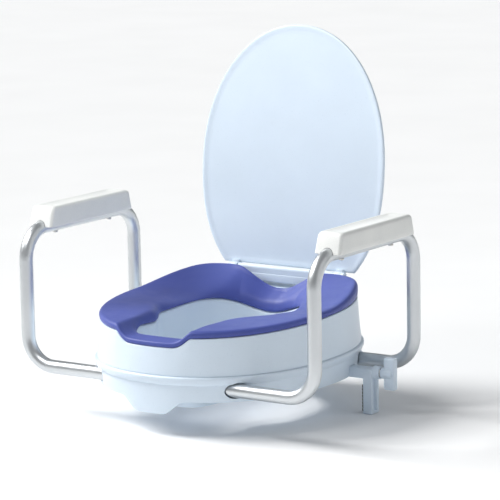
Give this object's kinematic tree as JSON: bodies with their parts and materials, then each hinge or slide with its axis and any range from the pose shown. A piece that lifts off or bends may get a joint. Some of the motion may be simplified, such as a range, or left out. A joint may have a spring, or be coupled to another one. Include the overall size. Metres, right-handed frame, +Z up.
{
  "type": "raised toilet seat",
  "caption": "Raised toilet seat with an open lid, a contoured blue foam ring, two bent tube arms with moulded pads and side clamps that grip the bowl's rim.",
  "frame": {"origin": "on the plane of symmetry, in the plane of the bowl's rim, below the widest line of the seat", "axes": "+X to the sitting person's left-hand side as seen from the front right of the picture, +Y towards the lid's hinge and the cistern, +Z up"},
  "size_m": [0.592, 0.463, 0.5969],
  "materials": {
    "white_moulding": "satin injection-moulded polypropylene, bluish white",
    "blue_foam": "matte closed-cell foam with a smooth moulded skin",
    "pad_moulding": "fine-grained soft plastic, warm white",
    "anodised_tube": "satin anodised",
    "zinc_steel": "bright zinc plate",
    "grey_rubber": "dark grey rubber"
  },
  "bodies": {
    "base": {"seat_shell": "white_moulding", "base_ring": "white_moulding", "seat_cushion": "blue_foam", "hinge_bar": "white_moulding", "hinge_pin_right": "zinc_steel", "hinge_pin_left": "zinc_steel", "hinge_screw_right": "zinc_steel", "hinge_screw_left": "zinc_steel", "assembly_screw_front_right": "zinc_steel", "assembly_screw_middle_right": "zinc_steel", "assembly_screw_rear_right": "zinc_steel", "assembly_screw_front_left": "zinc_steel", "assembly_screw_middle_left": "zinc_steel", "assembly_screw_rear_left": "zinc_steel", "rim_pad_front_right": "grey_rubber", "rim_pad_rear_right": "grey_rubber", "rim_pad_front_left": "grey_rubber", "rim_pad_rear_left": "grey_rubber", "front_tab_pad": "grey_rubber", "clamp_nut_right": "zinc_steel", "clamp_nut_left": "zinc_steel"},
    "lid": {"lid": "white_moulding"},
    "arm_right": {"arm_tube_right": "anodised_tube", "arm_pad_right": "pad_moulding", "arm_pad_screw_front_right": "zinc_steel", "arm_pad_screw_rear_right": "zinc_steel", "arm_end_plug_front_right": "grey_rubber", "arm_end_plug_rear_right": "grey_rubber"},
    "clamp_right": {"clamp_bracket_right": "white_moulding", "clamp_jaw_pad_right": "grey_rubber"},
    "knob_right": {"clamp_knob_right": "white_moulding", "clamp_spindle_right": "zinc_steel", "clamp_washer_right": "zinc_steel"},
    "arm_left": {"arm_tube_left": "anodised_tube", "arm_pad_left": "pad_moulding", "arm_pad_screw_front_left": "zinc_steel", "arm_pad_screw_rear_left": "zinc_steel", "arm_end_plug_front_left": "grey_rubber", "arm_end_plug_rear_left": "grey_rubber"},
    "clamp_left": {"clamp_bracket_left": "white_moulding", "clamp_jaw_pad_left": "grey_rubber"},
    "knob_left": {"clamp_knob_left": "white_moulding", "clamp_spindle_left": "zinc_steel", "clamp_washer_left": "zinc_steel"}
  },
  "joints": [
    {"name": "lid_hinge", "type": "hinge", "parent": "base", "child": "lid", "pos_m": [0, 0.1645, 0.14], "axis": [1, 0, 0], "range_deg": [0, 96]},
    {"name": "arm_right_slide", "type": "slide", "parent": "base", "child": "arm_right", "axis": [1, 0, 0], "range_m": [0, 0.09]},
    {"name": "clamp_right_slide", "type": "slide", "parent": "base", "child": "clamp_right", "axis": [-1, 0, 0], "range_m": [-0.015, 0.005]},
    {"name": "knob_right_turn", "type": "hinge", "parent": "clamp_right", "child": "knob_right", "pos_m": [0.245, 0.0685, 0.0115], "axis": [-1, 0, 0], "range_deg": [-2162, 722]},
    {"name": "arm_left_slide", "type": "slide", "parent": "base", "child": "arm_left", "axis": [-1, 0, 0], "range_m": [0, 0.09]},
    {"name": "clamp_left_slide", "type": "slide", "parent": "base", "child": "clamp_left", "axis": [1, 0, 0], "range_m": [-0.015, 0.005]},
    {"name": "knob_left_turn", "type": "hinge", "parent": "clamp_left", "child": "knob_left", "pos_m": [-0.245, 0.0685, 0.0115], "axis": [1, 0, 0], "range_deg": [-2162, 722]}
  ],
  "couplings": [
    {"joint": "knob_right_turn", "follows": "clamp_right_slide", "rad_per_m": 2513.3},
    {"joint": "knob_left_turn", "follows": "clamp_left_slide", "rad_per_m": 2513.3}
  ]
}
